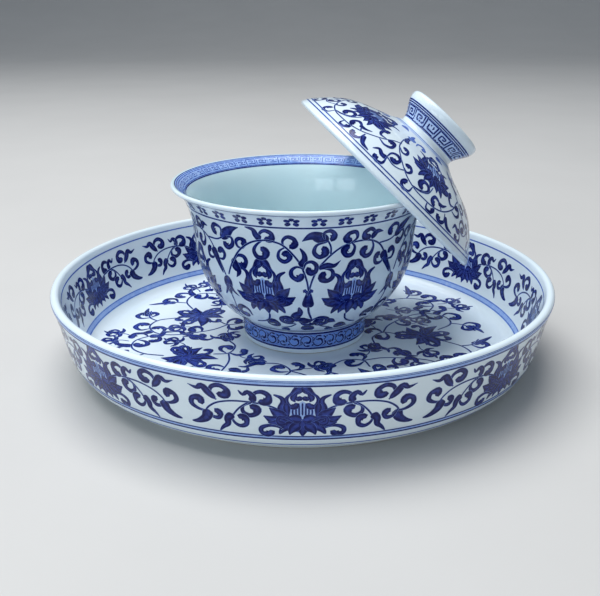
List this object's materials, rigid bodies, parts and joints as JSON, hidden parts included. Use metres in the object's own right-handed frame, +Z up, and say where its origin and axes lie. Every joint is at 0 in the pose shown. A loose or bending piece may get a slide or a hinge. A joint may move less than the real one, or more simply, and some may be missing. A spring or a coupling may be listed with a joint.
{
  "type": "gaiwan",
  "caption": "Lidded porcelain tea bowl standing in a deep round tray, blue floral scrolls on white glaze, with the knobbed lid hung on the bowl's flared lip.",
  "frame": {"origin": "centre of the tray's foot ring, on the surface it stands on", "axes": "+Z up, +X to the side where the lid hangs, -Y to the front"},
  "size_m": [0.18, 0.18, 0.0942],
  "materials": {
    "porcelain": "clear gloss glaze over white porcelain",
    "cobalt": "cobalt blue painted under the glaze",
    "biscuit": "bare matt porcelain where the foot rings stand"
  },
  "bodies": {
    "tray": {"tray": "porcelain"},
    "bowl": {"bowl": "porcelain"},
    "lid": {"lid": "porcelain"}
  },
  "joints": [
    {"name": "bowl_lift", "type": "slide", "parent": "tray", "child": "bowl", "axis": [0, 0, 1], "range_m": [0, 0.08]},
    {"name": "lid_lift", "type": "slide", "parent": "bowl", "child": "lid", "axis": [0.6982, 0.0907, 0.7102], "range_m": [0, 0.06]}
  ]
}
